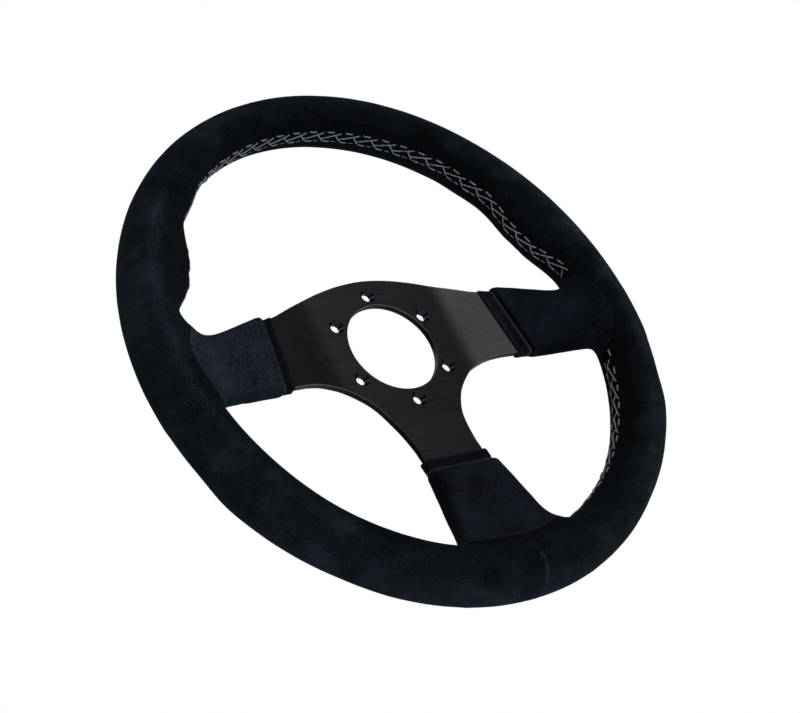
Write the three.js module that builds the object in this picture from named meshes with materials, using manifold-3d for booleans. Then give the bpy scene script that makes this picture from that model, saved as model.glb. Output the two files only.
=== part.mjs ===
// Three-spoke steering wheel with a padded, suede wrapped rim.
// Row frame: millimetres, +Z toward 12 o'clock, +X to the driver's right, the
// driver's side faces -Y. The origin is the centre of the bolt circle on the
// back (mounting) face of the spoke plate.
//
// Everything is built in wheel space (x right, y toward 12 o'clock, w toward
// the driver, w = 0 on the mounting face) and turned upright at the end.

import * as THREE from 'three';
import { mergeVertices } from 'three/addons/utils/BufferGeometryUtils.js';
import Module from 'manifold-3d';

// ---------------------------------------------------------------- dimensions

// Spoke plate.
const PLATE_THICK = 4.2;
const PLATE_CHAMFER = 0.4;
const BOLT_CIRCLE_R = 35;
const BORE_LAND = 6.8;
const HUB_LAND = 10.2;
const BOLT_COUNT = 6;
const BOLT_HOLE_R = 2.75;
const COUNTERSINK_R = 4.5;
const COUNTERSINK_DEPTH = 2.0;
const SPOKE_BEND_AT = 47;
const SPOKE_BEND_HALF = 5;
const LEVEL_BEFORE_RIM = 13.2;
const END_PAST_RIM = 3.8;
const END_PROUD = 0.1;

// Spoke edges from ARM_FROM outward: height and drift per millimetre.
const ARM_FROM = 68;
const SIDE_TOP = 27.3;
const SIDE_TOP_DRIFT = -0.33;
const SIDE_LOW = -18.1;
const SIDE_LOW_DRIFT = -0.105;
const FOOT_HALF = 20.1;
const FOOT_DRIFT = 0;

// Grip of the rim.
const RIM_R = 152.2;
const RIM_FORWARD = 13.7;
const GRIP_HALF_TOP = 13.3;
const GRIP_HALF_LOW = 15.05;
const GRIP_HALF_DEEP = 17.5;
const THUMB_REST = 8.6;
const THUMB_LIP = 2.3;
const THUMB_HOLLOW = 0.3;
const PALM_CORNER = 2.4;

// Layers from the outside in.
const SUEDE = 1.5;
const GAP = 0.3;
const SEAM_GAP = 0.5;
const BUTT_SEAM_ANGLE = 270;

// Rim hoop and rivets.
const HOOP_HALF_WIDE = 5;
const HOOP_THICK = 5;
const RIVET_R = 2.5;
const RIVET_HEAD_R = 4.5;
const RIVET_HEAD = 2.4;
const RIVET_SPREAD = 8;

// Sleeves, trim bands and piping at the spokes.
const BAND_FROM = 76.2;
const FOOT_BAND_FROM = 75.3;
const BAND_LONG = 6.6;
const BAND_THICK = 1.3;
const BAND_SLANT = 0.122;
const PIPING = 0.9;
const SLEEVE_FRONT_PAD = 5.2;
const SLEEVE_BACK_PAD = 2.6;
const SLEEVE_SIDE_PAD = 2.8;
const FLARE_BEFORE_RIM = 40.2;
const FLARE_LONG = 32;
const SLEEVE_FLARE = 5;
const SLEEVE_BEFORE_RIM = 5.2;

// Cross-stitched seam round the inside of the rim.
const STITCH_WIDE = 7;
const STITCH_THICK = 0.8;
const STITCH_TOP_FROM = 15;
const STITCH_LOW_FROM = 15;
const STITCH_LOW_TO = 70;

// Sampling.
const RIM_STEPS = 72;
const GRIP_SIDES = 14;
const SLEEVE_SIDES = 12;
const HOLE_SIDES = 14;
const RIVET_SIDES = 10;
const HOOP_STEPS = 48;
const EDGE_STEPS = 4;

// Places that follow from the sizes above. The spokes run straight from their
// bend to the rim, where the plate's end lies in the middle of the grip.
const HUB_BORE_R = BOLT_CIRCLE_R - BORE_LAND;
const HUB_TOP = BOLT_CIRCLE_R + HUB_LAND;
const RIM_CENTRE_W = PLATE_THICK + RIM_FORWARD;
const SPOKE_LEVEL_AT = RIM_R - LEVEL_BEFORE_RIM;
const SPOKE_END = RIM_R + END_PAST_RIM;
const SPOKE_END_RISE = RIM_CENTRE_W - PLATE_THICK / 2 + END_PROUD;
const SPOKE_SLOPE = SPOKE_END_RISE / (SPOKE_LEVEL_AT - SPOKE_BEND_AT);
const SLEEVE_FLARE_FROM = RIM_R - FLARE_BEFORE_RIM;
const SLEEVE_END = RIM_R - SLEEVE_BEFORE_RIM;

// ------------------------------------------------------------------- helpers

const wasm = await Module();
wasm.setup();

function smooth(from, to, value) {
  const t = Math.min(1, Math.max(0, (value - from) / (to - from)));
  return t * t * (3 - 2 * t);
}

function radians(deg) {
  return deg * Math.PI / 180;
}

// Angle above (+) or below (-) the 3 to 9 o'clock line, the same on both sides.
function lift(deg) {
  const turned = ((deg % 360) + 360) % 360;
  if (turned <= 90) return turned;
  if (turned <= 270) return 180 - turned;
  return turned - 360;
}

function solidFrom(points, faces) {
  const vertProperties = new Float32Array(points.flat());
  const triVerts = new Uint32Array(faces.flat());
  const mesh = new wasm.Mesh({ numProp: 3, vertProperties, triVerts });
  mesh.merge();
  return new wasm.Manifold(mesh);
}

function solidFromGeometry(geometry) {
  const plain = geometry.clone();
  for (const name of Object.keys(plain.attributes)) {
    if (name !== 'position') plain.deleteAttribute(name);
  }
  const merged = mergeVertices(plain, 1e-4);
  const points = [];
  const pos = merged.attributes.position;
  for (let i = 0; i < pos.count; i += 1) {
    points.push([pos.getX(i), pos.getY(i), pos.getZ(i)]);
  }
  const faces = [];
  const index = merged.index.array;
  for (let i = 0; i < index.length; i += 3) {
    const face = [index[i], index[i + 1], index[i + 2]];
    const flat = face[0] === face[1] || face[1] === face[2] || face[0] === face[2];
    if (!flat) faces.push(face);
  }
  return solidFrom(points, faces);
}

// Skin through a list of rings with the same number of points; the rings
// either close on themselves or end in flat caps.
function loft(rings, closed) {
  const n = rings[0].length;
  const count = rings.length;
  const points = rings.flat();
  const faces = [];
  const last = closed ? count : count - 1;
  for (let i = 0; i < last; i += 1) {
    const a = i * n;
    const b = ((i + 1) % count) * n;
    for (let j = 0; j < n; j += 1) {
      const k = (j + 1) % n;
      faces.push([a + j, b + j, b + k]);
      faces.push([a + j, b + k, a + k]);
    }
  }
  if (!closed) {
    const end = (count - 1) * n;
    for (let j = 1; j < n - 1; j += 1) {
      faces.push([0, j, j + 1]);
      faces.push([end, end + j + 1, end + j]);
    }
  }
  const solid = solidFrom(points, faces);
  if (solid.volume() >= 0) return solid;
  return solidFrom(points, faces.map(([a, b, c]) => [a, c, b]));
}

function turned(profile, steps) {
  const points = profile.map(([r, h]) => new THREE.Vector2(r, h));
  points.push(points[0].clone());
  const geometry = new THREE.LatheGeometry(points, steps);
  geometry.rotateX(Math.PI / 2);
  return geometry;
}

// ---------------------------------------------------------------- the spokes

// Height of the plate's back face at a distance u from the hub centre.
function rise(u) {
  const from = SPOKE_BEND_AT - SPOKE_BEND_HALF;
  const to = SPOKE_BEND_AT + SPOKE_BEND_HALF;
  if (u <= from) return 0;
  if (u <= to) return SPOKE_SLOPE * (u - from) ** 2 / (2 * (to - from));
  return SPOKE_SLOPE * (Math.min(u, SPOKE_LEVEL_AT) - SPOKE_BEND_AT);
}

const side = {
  hi: (u) => SIDE_TOP + SIDE_TOP_DRIFT * (u - ARM_FROM),
  lo: (u) => SIDE_LOW + SIDE_LOW_DRIFT * (u - ARM_FROM),
  bandFrom: BAND_FROM,
  slant: BAND_SLANT,
  widen: 0,
};

const foot = {
  hi: (u) => FOOT_HALF + FOOT_DRIFT * (u - ARM_FROM),
  lo: (u) => -FOOT_HALF - FOOT_DRIFT * (u - ARM_FROM),
  bandFrom: FOOT_BAND_FROM,
  slant: 0,
  widen: 0.18,
};

// A spoke point (u outward, v across, w toward the driver) in wheel space.
const spokes = {
  right: { ...side, place: (u, v, w) => [u, v, w] },
  left: { ...side, place: (u, v, w) => [-u, v, w] },
  bottom: { ...foot, place: (u, v, w) => [v, -u, w] },
};

// Box section along a spoke, grown by `grow` on all sides of the plate.
function spokeBox(spoke, stations, growSide, growFront, growBack) {
  const rings = stations.map((u) => {
    const hi = spoke.hi(u) + growSide;
    const lo = spoke.lo(u) - growSide;
    const back = rise(u) - growBack;
    const front = rise(u) + PLATE_THICK + growFront;
    const ring = [[lo, back], [hi, back], [hi, front], [lo, front]];
    return ring.map(([v, w]) => spoke.place(u, v, w));
  });
  return loft(rings, false);
}

// Height where a spoke edge, moved out by `grow`, meets the slanted plane at u.
function onSlant(spoke, edge, u, grow) {
  let v = edge(u) + grow;
  for (let i = 0; i < 8; i += 1) {
    v = edge(u - spoke.slant * v) + grow;
  }
  return v;
}

// Frame round a spoke between two slanted planes.
function spokeFrame(spoke, from, to, inner, outer) {
  const cut = (grow, a, b) => {
    const rings = [a, b].map((u) => {
      const hi = onSlant(spoke, spoke.hi, u, grow);
      const lo = onSlant(spoke, spoke.lo, u, -grow);
      const corners = [[lo, -grow], [hi, -grow], [hi, PLATE_THICK + grow], [lo, PLATE_THICK + grow]];
      return corners.map(([v, w]) => {
        const at = u - spoke.slant * v;
        return spoke.place(at, v, rise(at) + w);
      });
    });
    return loft(rings, false);
  };
  return cut(outer, from, to).subtract(cut(inner, from - 4, to + 4));
}

// Padded sleeve shape, shrunk by `inset`, from a distance `from` outward.
function sleeveBody(spoke, from, inset) {
  const flare = SLEEVE_FLARE_FROM;
  const stations = [from, from + 4, flare, flare + 10, flare + 22, SLEEVE_END];
  const rings = stations.map((u, i) => {
    const open = SLEEVE_FLARE * smooth(flare, flare + FLARE_LONG, u);
    const shoulder = i === 0 ? 0.7 : 0;
    const extra = SLEEVE_SIDE_PAD + spoke.widen * (u - from) + open - shoulder - inset;
    const hi = spoke.hi(u) + extra;
    const lo = spoke.lo(u) - extra;
    const front = rise(u) + PLATE_THICK + SLEEVE_FRONT_PAD + open - shoulder - inset;
    const back = rise(u) - SLEEVE_BACK_PAD - open + shoulder + inset;
    const fade = 1 - smooth(from, flare, u);
    const ring = [];
    for (let k = 0; k < SLEEVE_SIDES; k += 1) {
      const a = (k + 0.5) * 2 * Math.PI / SLEEVE_SIDES;
      const c = Math.sign(Math.cos(a)) * Math.abs(Math.cos(a)) ** 0.4;
      const s = Math.sign(Math.sin(a)) * Math.abs(Math.sin(a)) ** 0.4;
      const v = (hi + lo) / 2 + c * (hi - lo) / 2;
      const w = (front + back) / 2 + s * (front - back) / 2;
      const at = u - spoke.slant * v * fade;
      ring.push(spoke.place(at, v, w + rise(at) - rise(u)));
    }
    return ring;
  });
  return loft(rings, false);
}

// ------------------------------------------------------------------- the rim

// Inner half width of the grip: a thumb rest with a lip above each side spoke.
function gripInner(deg) {
  const e = lift(deg);
  const rest = THUMB_REST * smooth(40, 27, e) + THUMB_LIP * smooth(52, 44, e);
  return gripHalf(deg) + rest * smooth(9, 22, e);
}

// Outer half width of the grip: a soft corner below each side spoke.
function gripOuter(deg) {
  const e = lift(deg);
  const rising = smooth(-20, -29, e);
  const falling = Math.min(1, Math.max(0, (e + 52) / 22));
  return gripHalf(deg) + PALM_CORNER * rising * falling;
}

function gripHalf(deg) {
  const low = (1 - Math.sin(radians(deg))) / 2;
  return GRIP_HALF_TOP * (1 - low) + GRIP_HALF_LOW * low;
}

// Point on the grip at rim angle `deg` and section angle `turn`, shrunk by inset.
function gripPoint(deg, turn, inset) {
  const c = Math.cos(turn);
  const s = Math.sin(turn);
  const half = c >= 0 ? gripOuter(deg) : gripInner(deg);
  const rest = gripInner(deg) - gripHalf(deg);
  const hollow = c < 0 && s > 0 ? THUMB_HOLLOW * c * c * rest / (THUMB_REST + THUMB_LIP) : 0;
  const r = RIM_R + (half - inset) * c;
  const w = RIM_CENTRE_W + (GRIP_HALF_DEEP - inset) * s * (1 - hollow);
  return [r * Math.cos(radians(deg)), r * Math.sin(radians(deg)), w];
}

function rimBody(inset) {
  const rings = [];
  for (let i = 0; i < RIM_STEPS; i += 1) {
    const deg = i * 360 / RIM_STEPS;
    const ring = [];
    for (let k = 0; k < GRIP_SIDES; k += 1) {
      ring.push(gripPoint(deg, (k + 0.5) * 2 * Math.PI / GRIP_SIDES, inset));
    }
    rings.push(ring);
  }
  return loft(rings, true);
}

// Band along the inside of the rim from one angle to another. `deep` and
// `proud` are measured from the skin toward the centre line and the hub.
function innerBand(from, to, halfWide, deep, proud) {
  const rings = [];
  const steps = Math.max(1, Math.round((to - from) * RIM_STEPS / 360));
  const flat = Math.cos(Math.PI / GRIP_SIDES);
  for (let i = 0; i <= steps; i += 1) {
    const deg = from + (to - from) * i / steps;
    const skin = RIM_R - gripInner(deg) * flat;
    const near = skin - proud;
    const far = skin + deep;
    const c = Math.cos(radians(deg));
    const s = Math.sin(radians(deg));
    const ring = [[near, -halfWide], [far, -halfWide], [far, halfWide], [near, halfWide]];
    rings.push(ring.map(([r, w]) => [r * c, r * s, RIM_CENTRE_W + w]));
  }
  return loft(rings, false);
}

function hoop(grow) {
  const top = rise(SPOKE_END) - GAP + grow;
  const low = rise(SPOKE_END) - GAP - HOOP_THICK - grow;
  const inner = RIM_R - HOOP_HALF_WIDE - grow;
  const outer = RIM_R + HOOP_HALF_WIDE + grow;
  return solidFromGeometry(turned([[inner, low], [outer, low], [outer, top], [inner, top]], HOOP_STEPS));
}

// -------------------------------------------------------------- spoke plate

// Outline of the hub and its three arms, counter-clockwise from the right arm.
function plateShape() {
  const crown = [[57, 13.2], [45, 8.6], [31, 4.4], [16, 1.3], [0, 0]];
  const top = crown.map(([x, drop]) => [x, HUB_TOP - drop]);
  const corner = [
    [60, SIDE_LOW - 0.1],
    [53, SIDE_LOW - 1.4],
    [45, SIDE_LOW - 4.3],
    [37, -28.3],
    [30.5, -35],
    [FOOT_HALF + 5.9, -42.6],
    [FOOT_HALF + 2.7, -51],
    [FOOT_HALF + 0.9, -60],
  ];
  const toFoot = corner.map(([x, y]) => new THREE.Vector2(x, y));
  const toTop = top.map(([x, y]) => new THREE.Vector2(x, y));
  const mirror = (list) => list.map((p) => new THREE.Vector2(-p.x, p.y)).reverse();
  const armTop = new THREE.Vector2(ARM_FROM, side.hi(ARM_FROM));
  const armLow = new THREE.Vector2(ARM_FROM, side.lo(ARM_FROM));
  const footTop = new THREE.Vector2(foot.hi(ARM_FROM), -ARM_FROM);
  const crest = new THREE.SplineCurve([armTop, ...toTop, ...mirror(toTop.slice(0, -1)), ...mirror([armTop])]);
  const bay = new THREE.SplineCurve([...mirror([armLow]), ...mirror(toFoot).reverse(), ...mirror([footTop])]);
  const leftBay = bay.getPoints(EDGE_STEPS * 3);
  const rightBay = mirror(leftBay);
  const outline = [
    new THREE.Vector2(SPOKE_END, side.lo(SPOKE_END)),
    new THREE.Vector2(SPOKE_END, side.hi(SPOKE_END)),
    ...crest.getPoints(EDGE_STEPS * 4),
    new THREE.Vector2(-SPOKE_END, side.hi(SPOKE_END)),
    new THREE.Vector2(-SPOKE_END, side.lo(SPOKE_END)),
    ...leftBay,
    new THREE.Vector2(-foot.hi(SPOKE_END), -SPOKE_END),
    new THREE.Vector2(foot.hi(SPOKE_END), -SPOKE_END),
    ...rightBay,
  ];
  const shape = new THREE.Shape(outline);
  const bore = new THREE.Path();
  bore.absarc(0, 0, HUB_BORE_R, 0, 2 * Math.PI, true);
  shape.holes.push(bore);
  return shape;
}

// Cuts every triangle that crosses the plane axis = at, keeping shared edges.
function splitFaces(points, faces, axis, at) {
  const cutOf = new Map();
  const cutPoint = (i, j) => {
    const key = i < j ? `${i},${j}` : `${j},${i}`;
    if (!cutOf.has(key)) {
      const [a, b] = i < j ? [points[i], points[j]] : [points[j], points[i]];
      const t = (at - a[axis]) / (b[axis] - a[axis]);
      const p = a.map((value, k) => value + t * (b[k] - value));
      p[axis] = at;
      cutOf.set(key, points.push(p) - 1);
    }
    return cutOf.get(key);
  };
  const sideOf = (i) => {
    const d = points[i][axis] - at;
    return Math.abs(d) < 1e-4 ? 0 : Math.sign(d);
  };
  const result = [];
  for (const face of faces) {
    const s = face.map(sideOf);
    if (!(s.includes(1) && s.includes(-1))) {
      result.push(face);
      continue;
    }
    if (s.includes(0)) {
      const k = s.indexOf(0);
      const [a, b, c] = [face[k], face[(k + 1) % 3], face[(k + 2) % 3]];
      const m = cutPoint(b, c);
      result.push([a, b, m], [a, m, c]);
      continue;
    }
    const k = s.findIndex((v, i) => v !== s[(i + 1) % 3] && v !== s[(i + 2) % 3]);
    const [a, b, c] = [face[k], face[(k + 1) % 3], face[(k + 2) % 3]];
    const ab = cutPoint(a, b);
    const ac = cutPoint(a, c);
    result.push([a, ab, ac], [ab, b, c], [ab, c, ac]);
  }
  return result;
}

function rivetSpots(name) {
  const spoke = spokes[name];
  const middle = (spoke.hi(RIM_R) + spoke.lo(RIM_R)) / 2;
  return [middle + RIVET_SPREAD, middle - RIVET_SPREAD].map((v) => {
    const u = Math.sqrt(RIM_R * RIM_R - v * v);
    return spoke.place(u, v, 0);
  });
}

function drill(radius, from, to, [x, y]) {
  const geometry = turned([[0, from], [radius, from], [radius, to], [0, to]], RIVET_SIDES);
  geometry.translate(x, y, 0);
  return solidFromGeometry(geometry);
}

function countersunk([x, y]) {
  const sink = PLATE_THICK - COUNTERSINK_DEPTH;
  const over = COUNTERSINK_R + 1;
  const widen = (COUNTERSINK_R - BOLT_HOLE_R) / COUNTERSINK_DEPTH;
  const profile = [
    [0, -1],
    [BOLT_HOLE_R, -1],
    [BOLT_HOLE_R, sink],
    [over, sink + (over - BOLT_HOLE_R) / widen],
    [0, sink + (over - BOLT_HOLE_R) / widen],
  ];
  const geometry = turned(profile, HOLE_SIDES);
  geometry.translate(x, y, 0);
  return solidFromGeometry(geometry);
}

function spokePlate() {
  const geometry = new THREE.ExtrudeGeometry(plateShape(), {
    depth: PLATE_THICK - 2 * PLATE_CHAMFER,
    bevelEnabled: true,
    bevelThickness: PLATE_CHAMFER,
    bevelSize: PLATE_CHAMFER,
    bevelOffset: -PLATE_CHAMFER,
    bevelSegments: 1,
    curveSegments: 16,
  });
  geometry.translate(0, 0, PLATE_CHAMFER);
  let flat = solidFromGeometry(geometry);
  for (let i = 0; i < BOLT_COUNT; i += 1) {
    const a = Math.PI / 2 + i * 2 * Math.PI / BOLT_COUNT;
    flat = flat.subtract(countersunk([BOLT_CIRCLE_R * Math.cos(a), BOLT_CIRCLE_R * Math.sin(a)]));
  }
  for (const name of Object.keys(spokes)) {
    for (const spot of rivetSpots(name)) {
      flat = flat.subtract(drill(RIVET_R + GAP, -1, PLATE_THICK + 1, spot));
    }
  }
  const mesh = flat.getMesh();
  const points = [];
  for (let i = 0; i < mesh.vertProperties.length; i += mesh.numProp) {
    points.push(Array.from(mesh.vertProperties.slice(i, i + 3)));
  }
  let faces = [];
  for (let i = 0; i < mesh.triVerts.length; i += 3) {
    faces.push(Array.from(mesh.triVerts.slice(i, i + 3)));
  }
  const bends = [-1, 0, 1].map((k) => SPOKE_BEND_AT + k * SPOKE_BEND_HALF);
  for (const u of [...bends, SPOKE_LEVEL_AT]) {
    faces = splitFaces(points, faces, 0, u);
    faces = splitFaces(points, faces, 0, -u);
    faces = splitFaces(points, faces, 1, -u);
  }
  for (const p of points) {
    p[2] += rise(Math.max(Math.abs(p[0]), -p[1]));
  }
  return solidFrom(points, faces);
}

// ----------------------------------------------------------------- assembly

const group = new THREE.Group();
group.name = 'steering_wheel';

function add(name, solid, look) {
  const mesh = solid.getMesh();
  const geometry = new THREE.BufferGeometry();
  const positions = new Float32Array(mesh.vertProperties.length / mesh.numProp * 3);
  for (let i = 0; i < positions.length / 3; i += 1) {
    for (let k = 0; k < 3; k += 1) {
      positions[3 * i + k] = mesh.vertProperties[mesh.numProp * i + k];
    }
  }
  geometry.setAttribute('position', new THREE.BufferAttribute(positions, 3));
  geometry.setIndex(Array.from(mesh.triVerts));
  geometry.rotateX(Math.PI / 2);
  geometry.computeVertexNormals();
  const part = new THREE.Mesh(geometry, new THREE.MeshStandardMaterial(look));
  part.name = name;
  group.add(part);
}

const anodised = { color: 0x2b2b2e, roughness: 0.38, metalness: 0.9 };
const steel = { color: 0x8c9094, roughness: 0.45, metalness: 0.9 };
const foamLook = { color: 0x1b1b1c, roughness: 0.9, metalness: 0 };
const suedeLook = { color: 0x15181d, roughness: 0.95, metalness: 0 };
const bandLook = { color: 0x101216, roughness: 0.9, metalness: 0 };
const pipingLook = { color: 0x6d7178, roughness: 0.8, metalness: 0 };
const threadLook = { color: 0xc4c8cc, roughness: 0.75, metalness: 0 };

add('spoke_plate', spokePlate(), anodised);

// The hoop lies behind the spoke ends and each end is riveted to it twice.
let hoopSolid = hoop(0);
const rivetSolids = [];
for (const name of Object.keys(spokes)) {
  rivetSpots(name).forEach(([x, y], i) => {
    const low = rise(SPOKE_END) - GAP - HOOP_THICK - GAP;
    const top = rise(SPOKE_END) + PLATE_THICK + GAP;
    const profile = (grow) => [
      [0, low - RIVET_HEAD - grow],
      [RIVET_HEAD_R - 1 + grow, low - RIVET_HEAD - grow],
      [RIVET_HEAD_R + grow, low - RIVET_HEAD / 2],
      [RIVET_HEAD_R + grow, low + grow * 0.99],
      [RIVET_R + grow * 0.99, low + grow * 0.99],
      [RIVET_R + grow * 0.99, top - grow * 0.99],
      [RIVET_HEAD_R + grow, top - grow * 0.99],
      [RIVET_HEAD_R + grow, top + RIVET_HEAD / 2],
      [RIVET_HEAD_R - 1 + grow, top + RIVET_HEAD + grow],
      [0, top + RIVET_HEAD + grow],
    ];
    const make = (grow) => {
      const geometry = turned(profile(grow), RIVET_SIDES);
      geometry.translate(x, y, 0);
      return solidFromGeometry(geometry);
    };
    rivetSolids.push({ name: `rivet_${name}_${i + 1}`, solid: make(0), room: make(GAP) });
    hoopSolid = hoopSolid.subtract(drill(RIVET_R + GAP, 0, rise(SPOKE_END) + 1, [x, y]));
  });
}
add('rim_hoop', hoopSolid, steel);
for (const { name, solid } of rivetSolids) {
  add(name, solid, steel);
}

// Padding moulded round the hoop and over the spoke ends.
let padding = rimBody(SUEDE + GAP);
const arms = Object.entries(spokes).map(([name, spoke]) => {
  const bandEnd = spoke.bandFrom + BAND_LONG;
  const sleeveFrom = bandEnd + PIPING + 2 * GAP;
  const padFrom = sleeveFrom + SUEDE + GAP;
  return { name, spoke, bandEnd, sleeveFrom, padFrom };
});
for (const { spoke, padFrom } of arms) {
  padding = padding.add(sleeveBody(spoke, padFrom, SUEDE + GAP));
}
for (const { spoke } of arms) {
  const stations = [60, 100, SPOKE_LEVEL_AT, SPOKE_END + GAP];
  padding = padding.subtract(spokeBox(spoke, stations, GAP, GAP, GAP));
}
padding = padding.subtract(hoop(GAP));
for (const { room } of rivetSolids) {
  padding = padding.subtract(room);
}
add('rim_padding', padding, foamLook);

// Rim wrap: one strip, its long edges meeting along the inside of the rim and
// its ends butting at the foot of the bottom spoke.
const topSeam = [STITCH_TOP_FROM, 180 - STITCH_TOP_FROM];
const leftSeam = [180 + STITCH_LOW_FROM, 180 + STITCH_LOW_TO];
const rightSeam = [360 - STITCH_LOW_TO, 360 - STITCH_LOW_FROM];
const seams = { top: topSeam, left: leftSeam, right: rightSeam };
let wrap = rimBody(0).subtract(rimBody(SUEDE));
for (const { spoke, padFrom } of arms) {
  wrap = wrap.subtract(sleeveBody(spoke, padFrom, SUEDE));
}
for (const [from, to] of Object.values(seams)) {
  wrap = wrap.subtract(innerBand(from - 5, to + 5, SEAM_GAP / 2, SUEDE * 2.5, 2));
}
const butt = new THREE.BoxGeometry(60, SEAM_GAP, 60);
butt.translate(RIM_R, 0, RIM_CENTRE_W);
butt.rotateZ(radians(BUTT_SEAM_ANGLE));
wrap = wrap.subtract(solidFromGeometry(butt));
add('rim_wrap', wrap, suedeLook);

// Sleeves, trim bands and piping on the three spokes.
const rimRoom = rimBody(-GAP);
for (const { name, spoke, bandEnd, sleeveFrom, padFrom } of arms) {
  const passage = spokeBox(spoke, [60, 100, SPOKE_LEVEL_AT, SPOKE_END + 2], GAP, GAP, GAP);
  const sleeve = sleeveBody(spoke, sleeveFrom, 0)
    .subtract(sleeveBody(spoke, padFrom - GAP, SUEDE))
    .subtract(passage)
    .subtract(rimRoom);
  add(`sleeve_${name}`, sleeve, suedeLook);
  add(`trim_band_${name}`, spokeFrame(spoke, spoke.bandFrom, bandEnd, GAP, GAP + BAND_THICK), bandLook);
  const from = bandEnd + GAP;
  add(`piping_${name}`, spokeFrame(spoke, from, from + PIPING, GAP, GAP + BAND_THICK + 0.5), pipingLook);
}

// Stitching over the seam, one run in each window.
for (const [name, [from, to]] of Object.entries(seams)) {
  add(`stitching_${name}`, innerBand(from, to, STITCH_WIDE / 2, -GAP, GAP + STITCH_THICK), threadLook);
}

export default group;
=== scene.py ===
"""Looks of the suede wrapped three-spoke steering wheel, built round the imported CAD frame.

Shapes are worked out in wheel space (millimetres: x to the right, y toward 12 o'clock, w toward the
driver, w = 0 on the mounting face) and turned into the row frame (x, -w, y) in metres at the end.
"""
import math

import bmesh
import bpy
import numpy as np
from mathutils import Matrix, Vector, noise
from mathutils.geometry import delaunay_2d_cdt


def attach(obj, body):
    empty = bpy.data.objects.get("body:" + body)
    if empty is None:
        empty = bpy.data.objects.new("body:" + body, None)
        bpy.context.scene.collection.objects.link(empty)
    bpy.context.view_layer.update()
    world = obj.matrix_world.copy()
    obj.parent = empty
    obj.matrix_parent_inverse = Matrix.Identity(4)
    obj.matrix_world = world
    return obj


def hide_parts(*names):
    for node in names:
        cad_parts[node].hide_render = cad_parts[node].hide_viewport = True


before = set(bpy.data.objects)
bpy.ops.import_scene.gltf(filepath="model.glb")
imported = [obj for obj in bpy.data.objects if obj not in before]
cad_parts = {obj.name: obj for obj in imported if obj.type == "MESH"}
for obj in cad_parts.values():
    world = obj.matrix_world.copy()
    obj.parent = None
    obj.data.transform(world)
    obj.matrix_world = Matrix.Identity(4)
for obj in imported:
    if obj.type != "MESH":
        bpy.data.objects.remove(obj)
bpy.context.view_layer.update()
scene = bpy.context.scene

# ------------------------------------------------------------------ sizes, the same as the CAD part's
PLATE, CHAMFER = 4.2, 0.4
BOLT_CIRCLE, BOLT_R, SINK_R, SINK_DEEP = 35.0, 2.75, 4.5, 2.0
BORE_R, HUB_TOP = 28.2, 45.2
BEND_AT, BEND_HALF = 47.0, 5.0
ARM_FROM = 68.0
RIM_R, RIM_W = 152.2, 17.9
LEVEL_AT, SPOKE_END = 139.0, 156.0
SLOPE = (RIM_W - PLATE / 2 + 0.1) / (LEVEL_AT - BEND_AT)
HALF_TOP, HALF_LOW, HALF_DEEP = 13.3, 15.05, 17.5
THUMB_REST, THUMB_LIP, THUMB_HOLLOW, PALM_CORNER = 8.6, 2.3, 0.3, 2.4
GAP = 0.3
BAND_LONG, PIPING = 6.6, 0.9
PAD_FRONT, PAD_BACK, PAD_SIDE = 5.2, 2.6, 2.8
BUTT_AT = 270.0
RIVET_R, RIVET_SPREAD = 2.5, 8.0

# ------------------------------------------------------------------ sizes of the visual model alone
FILLET = 11.0  # between sleeve and rim, before it is widened at the thumb rests and beside the foot
FILLET_OUTER, FILLET_INNER = 152, 140  # the widening fades out between these, so that the rim keeps its outline
SECTION_ROUND = 4.6  # corner radius of a sleeve's section
CROWN = 0.9  # how far the sleeve's front swells between its corners
PADDED_FROM, PADDED_TO = 70.0, 152.0  # a sleeve's padding, from the hub's centre
SECTION_FROM, SECTION_TO = 60.0, 160.0  # its section is worked out between these
STRAIGHT_AT = 112.0  # a sleeve is slanted like its trim strip up to here
TURN_OUT_AT = 126.0  # and runs out to its end seam from here
SEAM_STATION = 137.0  # the nominal distance of that seam
AROUND = 168  # points round a sleeve
SHOULDER = 3.6  # length over which a sleeve's hub end rolls down
SHOULDER_FRONT, SHOULDER_BACK, SHOULDER_SIDE = 3.0, 1.0, 1.15  # and how far
PROUD = 0.24  # how far a sleeve's rim end lies on top of the rim's suede
STITCH_RUNS = {"top": (9.5, 170.5), "left": (193.5, 251.5), "right": (288.5, 346.5)}
STITCH_STEP = 12.1
STITCH_HALF = 3.6
SEAM_FORWARD = 6.5  # degrees the top window's seam lies toward the driver
SEAM_BACK = 6.0  # and how far it wanders to the back near the left thumb rest and the foot
# relief of the rim's suede: height, and half width (and the distance from the seam's line where it isn't 0)
GROOVE, GROOVE_HALF = -0.55, 0.45
PUCKER, PUCKER_HALF = -0.15, 1.6
PLUMP, PLUMP_AT, PLUMP_HALF = 0.22, 1.9, 1.1
BUTT_GROOVE, BUTT_GROOVE_HALF = -0.5, 0.32
BUTT_LIP, BUTT_LIP_AT, BUTT_LIP_HALF = 0.16, 1.4, 0.9
SUNK = 1.6  # how far the rim's skin drops below the bare grip under a sleeve


def smooth(a, b, v):
    """0 at a, 1 at b, and a smooth step between; b may be the smaller."""
    t = np.clip((np.asarray(v, float) - a) / (b - a), 0, 1)
    return t * t * (3 - 2 * t)


def bell(x, width):
    """1 at x = 0, falling to about a third at x = width."""
    return np.exp(-((x / width) ** 2))


def rise(u):
    """Height of the plate's back face at a distance u from the hub's centre."""
    u = np.minimum(np.asarray(u, float), LEVEL_AT)
    bent = SLOPE * (np.clip(u, BEND_AT - BEND_HALF, None) - BEND_AT + BEND_HALF) ** 2 / (4 * BEND_HALF)
    return np.where(u <= BEND_AT + BEND_HALF, bent, SLOPE * (u - BEND_AT))


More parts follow.
